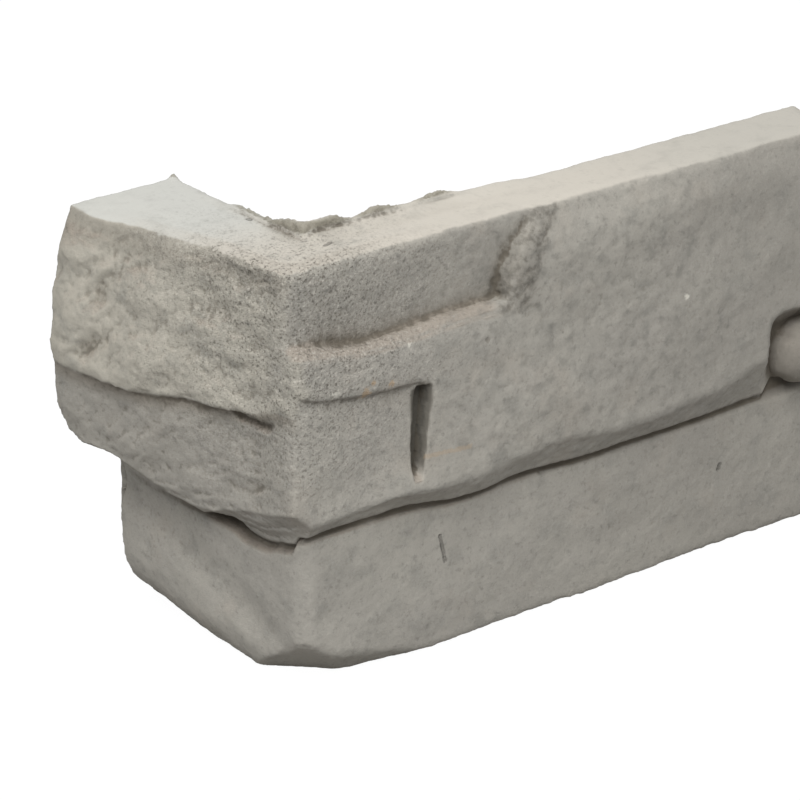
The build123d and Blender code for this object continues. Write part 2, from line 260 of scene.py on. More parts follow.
def welded(mesh):
    """A copy of a mesh whose loose triangles are joined at their corners."""
    copy = mesh.copy()
    shape = bmesh.new()
    shape.from_mesh(copy)
    bmesh.ops.remove_doubles(shape, verts=shape.verts, dist=SAME_POINT)
    shape.to_mesh(copy)
    shape.free()
    return copy


stone = bpy.data.objects.new("split_stone", welded(cad_stone.data))
bpy.context.scene.collection.objects.link(stone)
remake = stone.modifiers.new("voxels", "REMESH")
remake.mode = "VOXEL"
remake.voxel_size = SKIN
remake.adaptivity = 0.0
remake.use_smooth_shade = True
soften = stone.modifiers.new("soften", "SMOOTH")
soften.factor = 0.5
soften.iterations = 4
skin = plain_mesh(stone, "skin")
stone.modifiers.clear()
stone.data = skin
print("skin", len(skin.polygons), "faces")

# %% [markdown]
# ## The relief
#
# Real split stone breaks in streaks and layers, crumbles along its edges and keeps sand grains on
# its skin, and the mould copies all of it. One Geometry Nodes tree does the same by rule: each
# zone of the block has its own mix of patterns, and the sum moves the skin along its normals. The
# tree's named inputs say how strong each pattern is, so the stone can be made rougher or smoother.
# Those in millimetres are depths. The others are shares of a move, and a seed.

# %% The tree, its inputs and the places on the block
relief_tree = bpy.data.node_groups.new("stone_relief", "GeometryNodeTree")
relief_tree.interface.new_socket("Stone", in_out="OUTPUT", socket_type="NodeSocketGeometry")
relief_tree.interface.new_socket("Stone", in_out="INPUT", socket_type="NodeSocketGeometry")
RELIEF = {
    "Streak depth": 2.8 * MM,
    "Layer depth": 1.7 * MM,
    "Facet tilt": 0.07,
    "Crumble depth": 0.7 * MM,
    "Ridge depth": 0.25 * MM,
    "Lip depth": 4.2 * MM,
    "Rim curl": 1.1 * MM,
    "Ledge settle": 1.1 * MM,
    "Hollow sag": 3.0 * MM,
    "Slot squeeze": 0.35,
    "Joint lift": 1.4 * MM,
    "Lump depth": 0.6 * MM,
    "Cut depth": 1.2 * MM,
    "Wave depth": 2.0 * MM,
    "Grain depth": 0.4 * MM,
    "Pit depth": 0.3 * MM,
    "Rim grain": 1.9 * MM,
    "Foot dish": 0.9 * MM,
    "End lift": 1.8 * MM,
    "Edge wear": 0.75,
    "Corner wear": 0.35,
    "Arris wear": 0.6,
    "Nose wear": 0.9,
    "Cove fill": 0.12,
    "Joint depth": 0.9 * MM,
    "Flash ruin": 1.0 * MM,
    "Seed": 4.0,
}
for name in RELIEF:
    relief_tree.interface.new_socket(name, in_out="INPUT", socket_type="NodeSocketFloat")
relief_tree.interface.new_socket("Finish", in_out="INPUT", socket_type="NodeSocketMaterial")
board = Board(relief_tree)
inputs = relief_tree.nodes.new("NodeGroupInput")
size = {name: Wire(board, inputs.outputs[name]) for name in RELIEF}
seed = size["Seed"]
place = board.node("GeometryNodeInputPosition")
facing = board.node("GeometryNodeInputNormal")
x, y, z = place.parts()
facing_x, facing_y, facing_z = facing.parts()
print("relief tree with", len(RELIEF), "numbers to set")

# %% [markdown]
# ### Lines across the faces
#
# The bed crack and the joint between the two courses wander over the faces, as they do on the real
# piece. Each is a smooth curve through a few heights that were read off the CAD model, so that the
# patterns can follow it.


# %% Crack and joint as curves
def curve(where, start, end, *points):
    """A value that changes along a line: a smooth curve through points, all in millimetres."""
    low_point = min(v for _, v in points)
    span = max(v for _, v in points) - low_point
    node = board.tree.nodes.new("ShaderNodeFloatCurve")
    line = node.mapping.curves[0]
    spots = [((p - start) / (end - start), (v - low_point) / span) for p, v in points]
    line.points[0].location = spots[0]
    line.points[1].location = spots[-1]
    for spot in spots[1:-1]:
        line.points.new(*spot)
    node.mapping.update()
    board.feed(node.inputs["Value"], (where / MM - start) / (end - start))
    return (Wire(board, node.outputs[0]) * span + low_point) * MM


crack = curve(
    y, -20, 48,
    (-20, 67.8), (-13, 67.4), (-3, 64.8), (12, 63.9), (25, 62.6), (48, 64.9),
)
joint_long = curve(
    x, -16, 148,
    (-16, 36.8), (-5, 35.9), (12, 35.6), (36, 34.7), (47, 35.4), (70, 34.5), (148, 35.8),
)
joint_short = curve(
    y, -16, 52,
    (-16, 36.8), (-7, 32.9), (2, 31.3), (10, 32.8), (35, 32.5), (46, 34.2), (52, 35.4),
)
on_short = (y - x).steps(-1, 1)
from_joint = z - joint_long - (joint_short - joint_long) * on_short
print("lines", len(relief_tree.nodes), "nodes so far")

# %% [markdown]
# ### Zones
#
# A zone is a number between 0 and 1 at each point, made from its place and the way it faces. The
# backs and the free ends stay nearly flat, the long leg is water-worn and smooth, and the short
# leg's upper block is the roughest. The sand lies bare round the outer top corner.

# %% Zones of the whole block
OUTER_CORNER = at(-18, -19, 88)
ragged = board.noise(place, 7 * MM, detail=3.0, seed=seed + 7) - 0.5
fronts = facing_x.high(facing_y).step(0.7, 0.3)
flash = z.steps(100.4, 101.4)
top = facing_z.step(0.7, 0.95) * z.steps(98, 99.5)
bed = facing_z.step(-0.7, -0.95) * z.steps(2, 0.5)
loose = fronts * (1 - flash) * (1 - bed) * (1 - top * 0.8)
short_side = (x + ragged * (9 * MM)).steps(-13.5, -18.0)
long_side = y.steps(-9, -11)
outside = x.low(y).steps(-8.5, -10)
upper = z.steps(36, 40)
over_crack = (z - crack).steps(-0.5, 0.8)
rough = short_side * upper * over_crack
under = short_side * upper * (1 - over_crack)
from_corner = place.vector("DISTANCE", OUTER_CORNER, out="Value")
sandy = (from_corner + ragged * (30 * MM)).steps(62, 8)
print("zones", len(relief_tree.nodes), "nodes so far")

# %% Zones of the small forms on the long leg
LEDGE_Z = 79
SLOT_Z = 56
BREAK_LINE = ((78, 42.5), (81, 41), (90, 44), (101, 52))
beside_break = x - curve(z, 78, 101, *BREAK_LINE)
above_ledge = z.steps(LEDGE_Z - 2, LEDGE_Z) * long_side
recess = above_ledge * beside_break.steps(1, -1)
broken_edge = (beside_break - 2 * MM + ragged * (8 * MM)).near(0, 7, 3) * above_ledge
slot = x.near(17.3, 3.8, 2.8) * z.near(SLOT_Z, 12.5, 11) * long_side
nose = x.steps(119, 121.5) * z.near(45, 13, 11) * long_side
open_joint = 1 - on_short * y.steps(8, 28) * 0.8
print("small zones", len(relief_tree.nodes), "nodes so far")

# %% [markdown]
# ### Streaks, layers and facets
#
# The block broke along streaks that rise towards the corner, and flatter ones beside it: a noise
# that is drawn out along a slope gives both. Rounding a slow noise down to a few levels gives
# terraces, as in layered stone. Scattered points whose neighbourhoods tilt each in its own way
# give the small flat facets of a fresh break.

# %% Patterns of the rough block
TERRACES = 9


def drawn_out(rise, stretch):
    """Places squeezed along a slope of the short leg's face, which draws a pattern out along it."""
    along = z * math.sin(rise) - y * math.cos(rise)
    across = z * math.cos(rise) + y * math.sin(rise)
    return board.joined(x, along / stretch, across)


def facets(where, across, shift):
    """Small planes, each tilted its own way."""
    where = where.vector("ADD", board.joined(shift * (31 * MM), 0.0, 0.0))
    values = {"Vector": where, "Scale": 1 / across, "Smoothness": 0.35}
    centre = board.node("ShaderNodeTexVoronoi", {"feature": "SMOOTH_F1"}, values, "Position")
    tilt = Wire(board, centre.socket.node.outputs["Color"]).vector("SUBTRACT", HALF)
    return where.vector("SUBTRACT", centre).vector("DOT_PRODUCT", tilt, out="Value")


eddies = {"Vector": place, "Scale": 1 / (5 * MM), "Detail": 4.0}
stir = board.node("ShaderNodeTexNoise", None, eddies, "Color")
stir = stir.vector("SUBTRACT", HALF).vector("MULTIPLY", at(4, 4, 4))
stir_x, stir_y, _ = stir.parts()
steep = drawn_out(math.radians(48), 4.2).vector("ADD", stir)
flat = drawn_out(math.radians(16), 3.8).vector("ADD", stir)
turning = (y + ragged * (20 * MM)).steps(2, 24)
steep_streaks = board.noise(steep, 3.4 * MM, detail=4.0, roughness=0.45, seed=seed)
flat_streaks = board.noise(flat, 3.2 * MM, detail=4.0, roughness=0.5, seed=seed + 12)
streaks = flat_streaks + (steep_streaks - flat_streaks) * turning - 0.5
streaks = streaks * size["Streak depth"]
levels = board.noise(flat, 13 * MM, detail=2.0, seed=seed + 10) * TERRACES
layers = (levels.math("FLOOR") + levels.math("FRACT").step(0.3, 1.0)) / TERRACES - 0.5
layers = layers * size["Layer depth"]
broken = facets(steep, 6.5 * MM, seed) + facets(flat, 3.4 * MM, seed + 1)
broken = broken * size["Facet tilt"]
crumble = board.noise(place, 1.9 * MM, detail=4.0, roughness=0.6, seed=seed + 1) - 0.5
crumble = crumble * size["Crumble depth"]
print("rough block", len(relief_tree.nodes), "nodes so far")

# %% [markdown]
# ### The upper course's underside
#
# On the short leg the upper stone ends in a few thin ridges over the joint, and beside the corner
# its underside draws back, as the lip of a boulder does. The CAD model has the joint as a plain
# recess. A power curve from the lip's line down to the joint gives the rounded underside.

# %% Ridges above the joint, and the lip beside the corner
lifted = from_joint + ragged * (5 * MM) + stir_x * 0.5
ridges = (lifted / (2.7 * MM)).math("FRACT").step(0.0, 0.8) - 0.5
above_joint = from_joint.steps(0.5, 2) * from_joint.steps(11, 6)
ridges = ridges * above_joint * on_short * y.steps(36, 24) * size["Ridge depth"]
lip = curve(
    y, -20, 20,
    (-20, 45.2), (-17, 44.6), (-8, 42.2), (3, 39.4), (12, 36.2), (20, 32.0),
)
lip_rise = lip - joint_short
beneath = (lip + stir_y * 0.2 - z) / lip_rise.high(1 * MM)
beneath = beneath.high(0.0).low(1.0).math("POWER", 0.65)
undercut = beneath * from_joint.steps(-0.6, 0.2) * lip_rise.steps(0, 3)
undercut = undercut * x.steps(-10, -17.5)
closed_joint = from_joint.near(0, 9, 4) * on_short * lip_rise.steps(0, 3)
print("underside", len(relief_tree.nodes), "nodes so far")

# %% [markdown]
# ### Waves, lumps, grain and pits
#
# Even the smooth stone isn't flat: it has slow waves, low lumps on the big block, sand grains all
# over and a few pits where air stayed in the mould. Noises of four sizes and one scattering of
# points give them.

# %% Waves, lumps, grain and pits
waves = board.noise(place, 20 * MM, detail=3.0, seed=seed + 2) - 0.5
waves = waves * size["Wave depth"]
lumps = board.noise(place, 4.5 * MM, detail=2.0, seed=seed + 13) - 0.5
lumps = lumps * size["Lump depth"] * upper * x.steps(18, 34) * x.steps(118, 84)
grain = board.noise(place, 1.5 * MM, detail=4.0, roughness=0.6, seed=seed + 3) - 0.5
grain = grain * size["Grain depth"]
strewn_places = place.vector("ADD", stir)
spots = board.cells(strewn_places, 7 * MM, seed=seed + 4)
chosen = board.cells(strewn_places, 7 * MM, seed=seed + 4, out="Color").parts()[0].step(0.80, 0.95)
pits = -(spots.step(0.22, 0.05) * chosen * size["Pit depth"])
print("skin patterns", len(relief_tree.nodes), "nodes so far")

# %% [markdown]
# ### Worn edges, soft corners and the joint
#
# Blurring the places of the points and comparing tells where the skin is bent: it lies outside
# its own blurred shape on an edge, and inside it in a groove. Moving it some of the way there
# wears the edges and fills the inner corners, as a worn stone and a rubber mould do. Only the
# joint between the two courses is cut deeper.

# %% Bend of the skin
FINE_ROUNDS = 3
INNER_ROUNDS = 24
WIDE_ROUNDS = 60
EDGE_ROUNDS = 40


def blurred(value, rounds, kind="FLOAT_VECTOR"):
    """A value smoothed over the neighbouring points, a number of rounds."""
    values = {"Value": value, "Iterations": rounds}
    return board.node("GeometryNodeBlurAttribute", {"data_type": kind}, values)


inner = blurred(place, INNER_ROUNDS)
wide = blurred(inner, WIDE_ROUNDS)
bend = place.vector("SUBTRACT", inner).vector("DOT_PRODUCT", facing, out="Value")
edge = bend.steps(0, 0.3)
hollow = bend.steps(-0.04, -0.2)
near_edge = blurred(edge, EDGE_ROUNDS, "FLOAT")
print("bend", len(relief_tree.nodes), "nodes so far")

# %% Worn edges and corners
bite = board.noise(place, 5.0 * MM, detail=4.0, roughness=0.65, seed=seed + 5).step(0.30, 0.66)
worn = edge * (bite * 0.7 + 0.3) * size["Edge wear"]
course_joint = from_joint.near(0, 6, 4) * open_joint
sharp = course_joint.high(slot).high(broken_edge)
worn = worn.high(hollow * (1 - sharp) * size["Cove fill"])
corner_wear = near_edge.step(0.02, 0.3) * from_corner.steps(36, 12) * size["Corner wear"]
corner_wear = corner_wear.high(nose * near_edge.step(0.02, 0.3) * size["Nose wear"])
outer_arris = (x - y).near(0, 7, 3) * outside
corner_wear = corner_wear.high(outer_arris * size["Arris wear"])
ledge_edge = z.near(LEDGE_Z, 6, 4) * edge * long_side * x.steps(46, 42)
corner_wear = corner_wear.high(ledge_edge * size["Arris wear"])
wear = board.scaled(inner.vector("SUBTRACT", place), worn)
wear = wear.vector("ADD", board.scaled(wide.vector("SUBTRACT", inner), corner_wear))
print("wear", len(relief_tree.nodes), "nodes so far")

# %% The joint's floor and the sandy rim
uneven = board.noise(place, 6 * MM, detail=3.0, seed=seed + 6) * 1.4 + 0.2
seam = from_joint.near(0, 1.3, 0.3) * outside * open_joint
joint = -(seam * uneven * size["Joint depth"])
rim = near_edge.step(0.04, 0.22) * z.steps(93, 98) * sandy * (1 - flash) * fronts.high(top)
rim_grain = board.noise(place, 1.3 * MM, detail=3.0, roughness=0.7, seed=seed + 11) - 0.55
rim_grain = rim_grain * rim * size["Rim grain"]
print("joint and rim", len(relief_tree.nodes), "nodes so far")

# %% [markdown]
# ### Places that settled or lifted
#
# A mould is soft and a fresh cast sags, so some forms stand a millimetre or two away from the
# plain model: the drawn-in foot is dished, the short leg's end is lifted, the top curls up at the
# flash's foot, the shelf over the ledge and the hollow's upper lip hang a little, and the joint
# rises beside the corner. A soft bump of the right reach moves each of them.

# %% Dished foot, lifted end and joint, curled rim, settled ledge and hollow
foot_line = 13 * MM + y * 0.36
dish = (z - foot_line).near(0, 8, 0) * short_side.high(x.steps(-11, -13)) * (1 - upper)
dish = -(dish * y.steps(-12, -3) * size["Foot dish"])
lift = y.steps(28, 40) * facing_z.step(-0.1, -0.6) * z.near(37, 10, 6)
lift = lift * size["End lift"]
curl = z.steps(98.5, 99.5) * y.steps(-7, -1) * y.steps(9, 3)
curl = curl * x.steps(-5, 2) * x.steps(64, 48) * size["Rim curl"]
joint_lift = from_joint.near(0, 9, 3) * (1 - on_short) * outside
joint_lift = joint_lift * x.steps(-17.5, -4) * x.steps(36, 12) * size["Joint lift"]
settle = x.steps(-20, -8) * x.steps(30, 6) * z.near(LEDGE_Z + 1, 6, 1.5)
settle = settle * long_side * size["Ledge settle"]
from_hollow = place.vector("DISTANCE", at(-17, -6, 67), out="Value")
settle = settle.high(from_hollow.steps(9, 0) * size["Hollow sag"])
print("settled places", len(relief_tree.nodes), "nodes so far")

# %% [markdown]
# ### The round stone at the long leg's end
#
# A small round-nosed stone fills the gap at the end of the long leg. The CAD model has it as a
# bar with a rounded end. Drawing its outer rim in towards its middle, and back a little, makes it
# look like a pebble.

# %% The round stone
from_nose = place.vector("SUBTRACT", at(134.5, 0, 44.6)).vector("MULTIPLY", (1.0, 0.0, 1.0))
nose_x, _, nose_z = from_nose.parts()
flank = board.joined(nose_x.low(0.0) / (10 * MM), 0.0, nose_z / (9 * MM))
flank = flank.vector("LENGTH", out="Value")
on_nose = x.steps(122.9, 123.6) * nose_z.near(0, 10.6, 9.9) * long_side
rounding = board.scaled(from_nose, flank.step(0.7, 1.45) * on_nose * -0.3)
back = flank.step(0.4, 1.1) * on_nose * (1.8 * MM)
rounding = rounding.vector("ADD", board.joined(0.0, back, 0.0))
print("round stone", len(relief_tree.nodes), "nodes so far")

# %% [markdown]
# ### The slot
#
# The slot beside the lower panel is a saw-thin gap between two stones. It narrows and leans
# towards its foot. Its floor is squared, and its walls are squeezed together round its middle line.

# %% Squared and squeezed slot
above_foot = 66 * MM - z
from_slot = x - 17.4 * MM + above_foot * 0.045
slot_gap = (from_slot.math("ABSOLUTE") + above_foot * 0.04).steps(2.5, 2.1)
slot_gap = slot_gap * z.near(SLOT_Z, 11, 10.4) * long_side
squared = (-15.4 * MM - y).high(0.0) * slot_gap
slot_wall = slot_gap.high(facing_x.step(-0.2, -0.6) * slot)
nudge = (z.steps(48, 66) * (0.6 * MM) - from_slot * size["Slot squeeze"]) * long_side
nudge = nudge * from_slot.near(0, 9, 2.5) * z.near(SLOT_Z, 16, 11)
print("slot", len(relief_tree.nodes), "nodes so far")

# %% [markdown]
# ### The sum, and the ragged flash
#
# All patterns are heights along the skin's normal, weighed by the zones. The wear, the settled
# places and the slot are moves of their own. The flash is a thin tongue of cement that ran over
# the mould's rim, so it is broken from above and not along its normals.

# %% Sum of the patterns
calm = 1 - near_edge.step(0.1, 0.5) * 0.5
broken_stone = (streaks + layers + broken + crumble) * (rough + under * 0.65) * calm
shelf = facing_z.step(0.15, 0.7) * z.steps(98, 96) * (1 - broken_edge) * x.steps(54, 48)
crumbs = crumble * (broken_edge * 2.4).high(shelf * 1.4)
cuts = -(strokes(board, place, ragged * 0.6, *DENTS) * size["Cut depth"])
height = broken_stone + waves * (1 - rough * 0.6) + lumps
height = height + grain * (1 - top * 0.5 + sandy * 0.8) + pits * (1 - rough) + joint + dish
height = height * loose + (crumbs + ridges) * loose.high(shelf) + rim_grain + cuts
moved = board.scaled(facing, height)
moved = moved.vector("ADD", wear).vector("ADD", rounding)
sideways = undercut * size["Lip depth"] + nudge
upwards = lift + curl + joint_lift - settle
moved = moved.vector("ADD", board.joined(sideways, squared, upwards))
print("sum", len(relief_tree.nodes), "nodes so far")

# %% Ragged flash
missing = board.noise(place, 2.6 * MM, detail=4.0, roughness=0.7, seed=seed + 8).step(0.35, 0.75)
shaken = board.noise(place, 1.3 * MM, detail=2.0, seed=seed + 9) - 0.5
fallen = board.joined(0.0, 0.0, -(missing * flash * size["Flash ruin"]))
lean = shaken * flash * (1.4 * MM)
moved = moved.vector("ADD", fallen).vector("ADD", board.joined(lean, lean, 0.0))
print("flash", len(relief_tree.nodes), "nodes so far")

# %% [markdown]
# ### The end of the tree
#
# The finish has to know which part of the stone it is on. So the tree keeps the zones and the
# bends as numbers at each point, some before the skin is moved and some after it. The moved skin
# is held inside the CAD model's box.


# %% The end of the tree: move the skin, keep its numbers, set the finish
def stored(geometry, name, value):
    """Keeps a number at each point, for the finish to read."""
    values = {"Geometry": geometry, "Name": name, "Value": value}
    return board.node("GeometryNodeStoreNamedAttribute", {"data_type": "FLOAT", "domain": "POINT"}, values)


def bent(from_shape):
    """How far the skin stands out from a blurred shape, in millimetres."""
    return place.vector("SUBTRACT", from_shape).vector("DOT_PRODUCT", facing, out="Value") / MM


# A number is worked out where it is stored, so the first lot sees the skin before it is moved,
# and the second lot sees it after.
body = Wire(board, inputs.outputs["Stone"])
kept_before = {
    "rough_zone": rough,
    "sandy_zone": sandy,
    "rim_zone": rim,
    "flash_shade": flash * fronts.high(top),
    "joint_zone": blurred(seam * uneven.low(1.0), 2, "FLOAT"),
}
kept_after = {
    "bend": bend / MM,
    "wide_bend": bent(wide),
    "fine_bend": bent(blurred(place, FINE_ROUNDS)),
    "break_zone": broken_edge,
    "slot_shade": slot_wall * z.steps(45.5, 49),
    "recess_shade": recess,
    "nose_shade": on_nose,
    "under_zone": under,
    "lip_shade": undercut,
    "closed_joint": closed_joint,
    "crack_shadow": (crack - z).steps(5, 0.5) * (crack - z).steps(-0.5, 0.5) * short_side,
    "shelf_zone": shelf,
}
for name, value in kept_before.items():
    body = stored(body, name, value)
inside = place.vector("ADD", moved)
inside = inside.vector("MAXIMUM", tuple(low)).vector("MINIMUM", tuple(high))
body = board.node("GeometryNodeSetPosition", None, {"Geometry": body, "Position": inside})
for name, value in kept_after.items():
    body = stored(body, name, value)
body = board.node("GeometryNodeRealizeInstances", None, {"Geometry": body})
finish_input = Wire(board, inputs.outputs["Finish"])
body = board.node("GeometryNodeSetMaterial", None, {"Geometry": body, "Material": finish_input})
outputs = relief_tree.nodes.new("NodeGroupOutput")
board.feed(outputs.inputs["Stone"], body)
print("relief tree", len(relief_tree.nodes), "nodes")

# %% [markdown]
# ## The finish
#
# Cast stone is grey cement with sand and a little iron oxide. Its colour drifts slowly between a
# cool and a warm grey, fine sand speckles it with dark and light grains, most of all round the
# outer top corner, and the recesses keep dust. Shade is painted into the colour as well: in the
# recesses, crevices and slot, on the break wall, the flash, the round stone and the faces that look
# down, under the crack and on the lip's underside. The finish is built the way a painter would do
# it: a ground colour, and coats over it, each with the share that shows.

# %% Cast stone: its tree, and what it reads
cast = bpy.data.materials.new("cast_stone")
cast.use_nodes = True
cast.node_tree.nodes.clear()
paint = Board(cast.node_tree)
spot = paint.node("ShaderNodeTexCoord", None, None, "Object")
spot_x, spot_y, spot_z = spot.parts()
facing_up = paint.node("ShaderNodeNewGeometry", None, None, "Normal").parts()[2]


def kept(name):
    """A number that the relief tree kept at each point."""
    return paint.node("ShaderNodeAttribute", {"attribute_name": name}, None, "Fac")


def grey(red, green, blue):
    """A colour as a picture shows it, from 0 to 255, turned into light."""
    return tuple((c / 255) ** 2.2 for c in (red, green, blue)) + (1.0,)


def coated(ground, *coats):
    """A colour with coats over it. Each is the share that shows and a colour for grey()."""
    for share, tone in coats:
        ground = paint.mixed(share, ground, grey(*tone))
    return ground


rough_zone = kept("rough_zone")
sandy_zone = kept("sandy_zone")
rim_zone = kept("rim_zone")
shelf_zone = kept("shelf_zone")
bend_kept = kept("bend")
fine_kept = kept("fine_bend")
up = facing_up.step(0.6, 0.95)
down_shade = facing_up.step(-0.3, -0.7)
on_top = spot_z.steps(96, 99)
lid = up * on_top * (1 - rim_zone.high(sandy_zone))
print("places for the finish", len(cast.node_tree.nodes), "nodes so far")

# %% Its slow colours
drift = paint.noise(spot, 30 * MM, detail=3.0, seed=1.0).step(0.36, 0.64)
blush = paint.noise(spot, 13 * MM, detail=4.0, roughness=0.6, seed=2.0).step(0.52, 0.72)
colour = coated(
    grey(168, 164, 156),
    (drift, (174, 170, 161)),
    (blush * 0.3, (176, 167, 155)),
    (rough_zone * 0.8, (186, 181, 168)),
    (kept("under_zone") * 0.22, (134, 130, 121)),
    (sandy_zone * (on_top * 0.3 + 0.14), (206, 201, 190)),
    (spot_x.steps(20, 130) * 0.45, (148, 144, 136)),
    # painted shade: the recessed panel above the ledge is darker
    (kept("recess_shade") * 0.15, (130, 127, 120)),
)
cool = spot_y.steps(-8, 22).high(spot_x.steps(70, 120) * 0.25)
far_top = spot_x.steps(50, 120) * 0.4
top_colour = coated(grey(199, 193, 182), (cool, (195, 195, 189)), (far_top, (166, 163, 154)))
colour = paint.mixed(up * on_top * 0.9, colour, top_colour)
print("slow colours", len(cast.node_tree.nodes), "nodes so far")

# %% Its stains and mottling
stain = paint.noise(spot, 6 * MM, detail=5.0, roughness=0.65, seed=3.0).step(0.48, 0.74)
mottle = paint.noise(spot, 1.6 * MM, detail=3.0, roughness=0.6, seed=9.0)
mottled = mottle.step(0.54, 0.72) * (1 - lid * 0.7) * (sandy_zone * 0.25 - rough_zone * 0.3 + 0.45)
under_rim = spot_z.steps(92, 96) * rough_zone * (1 - up)
colour = coated(
    colour,
    (shelf_zone * 0.7, (164, 153, 141)),
    (stain * (1 - lid * 0.6) * 0.5, (136, 135, 129)),
    (mottled, (126, 124, 118)),
    (rim_zone * up * 0.6, (190, 182, 170)),
    # a darker band along the top of the rough block's face
    (under_rim * 0.4, (132, 126, 116)),
)
print("stains", len(cast.node_tree.nodes), "nodes so far")

# %% Its sand
sand = paint.noise(spot, 0.6 * MM, detail=2.0, roughness=0.75, seed=4.0)
strewn = (sandy_zone * 0.85 + 0.15).high(rim_zone * 1.25) * (1 - lid * 0.8)
cloud = paint.noise(spot, 3.2 * MM, detail=3.0, roughness=0.5, seed=10.0).step(0.48, 0.7)
in_front = spot_x.steps(15, 36) * spot_x.steps(125, 85) * spot_y.steps(-6, -10)
cloudy = (in_front * spot_z.steps(38, 46) * 0.3 + 0.08) * (1 - lid)
grains = paint.cells(spot, 1.5 * MM, seed=5.0)
picked = paint.cells(spot, 1.5 * MM, seed=5.0, out="Color").parts()[0].step(0.80, 0.95)
specks = grains.step(0.30, 0.14) * picked * (sandy_zone * 0.45 + 0.2) * (1 - lid)
colour = coated(
    colour,
    (sand.step(0.54, 0.64) * strewn * 0.8, (110, 106, 98)),
    (sand.step(0.44, 0.34) * strewn * 0.5, (218, 213, 202)),
    (cloud * cloudy, (120, 119, 113)),
    (specks, (92, 90, 86)),
)
print("sand", len(cast.node_tree.nodes), "nodes so far")

# %% Its dust and painted shade
shade = bend_kept.step(-0.10, -0.6)
open_shade = 1 - kept("closed_joint") * 0.7
dust_and_shade = kept("wide_bend").step(-0.05, -1.0)
break_wall_shade = kept("break_zone") * (1 - up) * (mottle.step(0.42, 0.62) * 0.3 + 0.3)
rubbed = bend_kept.step(0.18, 0.55)
crevice_shade = fine_kept.step(-0.015, -0.10) * (shade * 0.2 - rough_zone * 0.15 + 0.3)
colour = coated(
    colour,
    (shade * (0.6 - rough_zone * 0.3) * open_shade, (104, 97, 86)),
    # dust and painted shade: a wide, soft darkening in the recess corners
    (dust_and_shade * 0.5 * open_shade, (116, 109, 98)),
    # painted shade: the slot's gap and walls are dark
    (kept("slot_shade") * 0.85, (80, 77, 70)),
    # painted shade, mottled: the break's end wall is darker
    (break_wall_shade, (100, 96, 88)),
    # painted shade: the round stone is darker
    (kept("nose_shade") * 0.5, (106, 99, 90)),
    # painted shade: the lip's underside is darker
    (kept("lip_shade") * 0.2, (108, 103, 95)),
    # painted shadow: a band just under the bed crack is darker
    (kept("crack_shadow") * 0.45, (112, 102, 88)),
    # painted shade: faces that look downwards are darker
    (down_shade * 0.4, (116, 109, 98)),
    (kept("joint_zone") * 0.75, (66, 60, 52)),
    # painted shade: the flash is darker than the top
    (kept("flash_shade") * 0.7, (138, 133, 119)),
    (rubbed * (1 - up) * 0.08, (205, 198, 184)),
    # painted shade in the fine crevices
    (crevice_shade, (96, 90, 80)),
)
print("shade", len(cast.node_tree.nodes), "nodes so far")

# %% [markdown]
# ### Single marks
#
# A few marks of colour belong to this very piece: rust-coloured sand on the ledge, a faint rust
# line beside the slot and three white flecks. Each is a soft spot round a place, and its outline
# is made ragged by noise. The dents and slits from above get a dark coat here.

# %% Single marks
worried = paint.noise(spot, 0.8 * MM, detail=3.0, seed=8.0) - 0.5
RUST = (
    ((2.0, -19, 69.6), (1.5, 3, 1.7)),
    ((8.6, -19, 70.2), (0.9, 3, 1.0)),
    ((3.6, -19, 71.6), (0.7, 3, 0.9)),
)
RUST_LINE = ((18.3, -19, 50.1), (30.7, -19, 49.4), 0.7)
WHITE = (
    ((-6, -19, 71.4), (1.4, 3, 0.9)),
    ((13.8, -19, 77.6), (0.8, 3, 0.8)),
    ((93, -19, 69.5), (1, 3, 1)),
)


def marks(*places):
    """Soft spots of 1 on 0. Each is given by its middle and its reach, in millimetres."""
    found = worried * 0.0
    for middle, reach in places:
        away = spot.vector("SUBTRACT", at(*middle)).vector("DIVIDE", at(*reach))
        away = away.vector("LENGTH", out="Value")
        found = found.high((away + worried * 2.6).step(1.1, 0.3))
    return found


rust = marks(*RUST).high(strokes(paint, spot, worried * 2.0, RUST_LINE) * 0.5)
holes = strokes(paint, spot, worried * 1.5, *DENTS, *SLITS)
colour = coated(
    colour,
    (rust * 0.55, (190, 160, 124)),
    (marks(*WHITE) * 0.7, (226, 222, 210)),
    (holes * 0.45, (84, 82, 76)),
)
print("marks of colour", len(RUST) + len(WHITE) + 1)

# %% [markdown]
# ### Fine bumps
#
# Sand grains of less than a millimetre are too small for the mesh, so the finish only bends the
# light on them. Cast stone has no gloss at all.

# %% Its fine bumps and the shader
rise = paint.noise(spot, 0.8 * MM, detail=4.0, roughness=0.7, seed=6.0)
rise = rise + paint.noise(spot, 0.35 * MM, detail=2.0, roughness=0.6, seed=7.0) * 0.6
grit = (sandy_zone * 1.1 + 0.35).high(shelf_zone).high(rim_zone * 1.8) * (1 - lid * 0.6)
rise = rise * grit - holes * 1.5
bumped = paint.node("ShaderNodeBump", None, {"Strength": 0.9, "Distance": 0.35 * MM, "Height": rise})
shader = paint.node("ShaderNodeBsdfPrincipled", None, {"Base Color": colour, "Normal": bumped})
shader.socket.node.inputs["Roughness"].default_value = 0.95
shader.socket.node.inputs["Specular IOR Level"].default_value = 0.25
surface = cast.node_tree.nodes.new("ShaderNodeOutputMaterial")
paint.feed(surface.inputs["Surface"], shader)
print("cast stone", len(cast.node_tree.nodes), "nodes")

# %% [markdown]
# ## The finished piece
#
# The tree runs once on the skin. The result is thinned, because half a millimetre is finer than
# the flat backs need, and it becomes a plain mesh that anyone can open. It stands in for the CAD
# model's node and rides on the same body.

